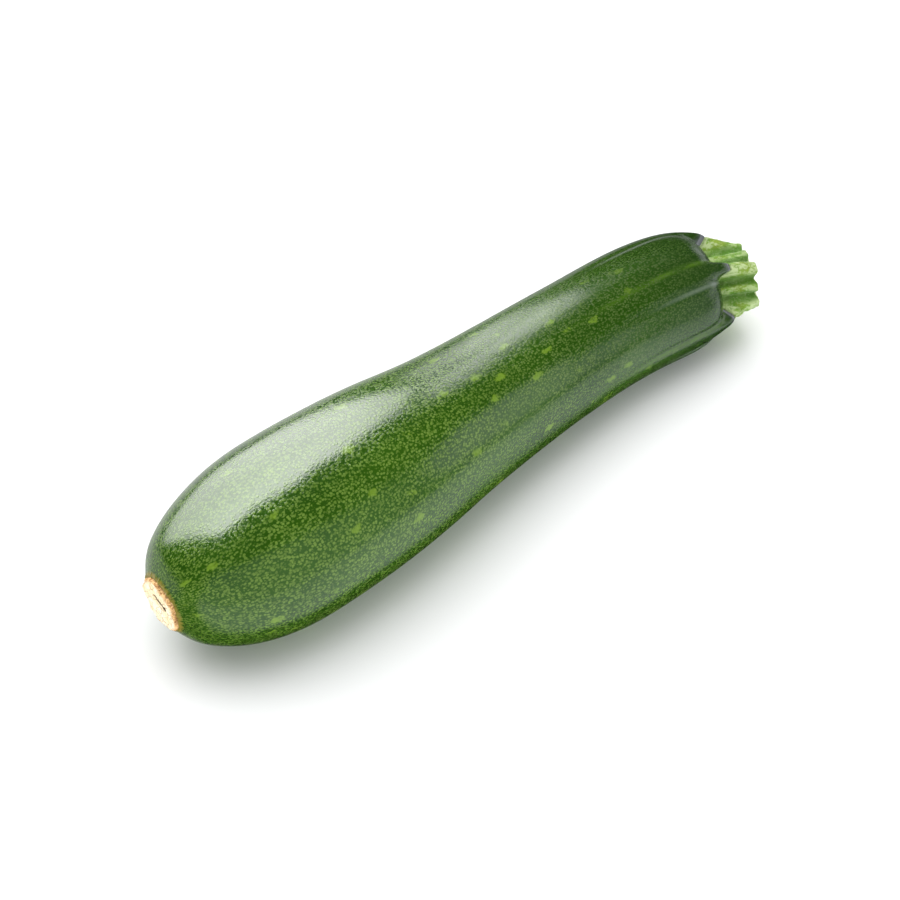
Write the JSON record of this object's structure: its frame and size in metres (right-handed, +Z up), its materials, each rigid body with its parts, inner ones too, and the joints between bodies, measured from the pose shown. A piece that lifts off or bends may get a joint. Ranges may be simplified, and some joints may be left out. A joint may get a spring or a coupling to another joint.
{
  "type": "courgette",
  "caption": "Fresh green courgette lying on its side, with a ribbed shoulder, a cut ridged stem and a corky blossom scar.",
  "frame": {"origin": "middle of the overall box, at the table surface the courgette lies on", "axes": "+X along the fruit from the blossom end towards the stem, +Z up from the table"},
  "size_m": [0.1926, 0.0481, 0.045],
  "materials": {
    "skin": "glossy waxy dark green skin, densely flecked with pale green",
    "stem_green": "matt yellow-green stem with a short pale fuzz",
    "cork": "dry matt cream cork with brown cracks"
  },
  "bodies": {
    "root": {"fruit": "skin", "stem": "stem_green", "blossom_scar": "cork"}
  },
  "joints": []
}
